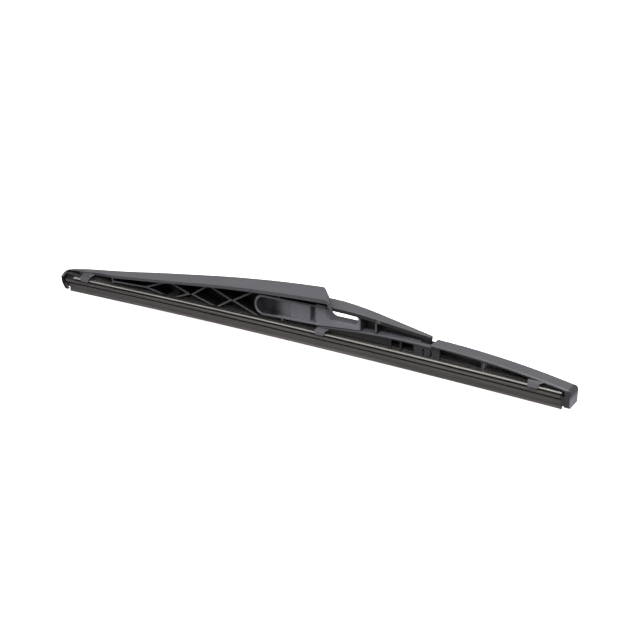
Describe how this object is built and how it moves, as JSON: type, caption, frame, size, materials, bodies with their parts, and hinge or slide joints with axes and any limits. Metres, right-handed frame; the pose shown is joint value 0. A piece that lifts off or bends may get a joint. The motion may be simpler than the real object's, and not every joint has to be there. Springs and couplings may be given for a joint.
{
  "type": "wiper blade",
  "caption": "Rear-window wiper blade: latticed plastic frame with an arm socket, a hinged rocker, and a rubber squeegee on two spring rails.",
  "frame": {"origin": "centre of the see-through arm socket, on the blade's middle plane", "axes": "+X along the blade towards the rocker and the end cap, -Y towards the side on which the arm socket and the lattice are open, +Z away from the glass"},
  "size_m": [0.297, 0.0161, 0.0315],
  "materials": {
    "frame_plastic": "fine moulded texture, black",
    "rocker_plastic": "fine moulded texture, black",
    "squeegee_rubber": "coated rubber with a dull sheen",
    "rail_steel": "rolled spring steel"
  },
  "bodies": {
    "frame": {"main_frame": "frame_plastic", "wiper_rubber": "squeegee_rubber", "rail_front": "rail_steel", "rail_rear": "rail_steel"},
    "rocker": {"rocker": "rocker_plastic"}
  },
  "joints": [
    {"name": "rocker_pivot", "type": "hinge", "parent": "frame", "child": "rocker", "pos_m": [0.0467, 0, -0.0083], "axis": [0, 1, 0], "range_deg": [-4, 0.2], "stiffness_Nm_per_rad": 1.5, "deforming": ["wiper_rubber", "rail_front", "rail_rear"]}
  ]
}
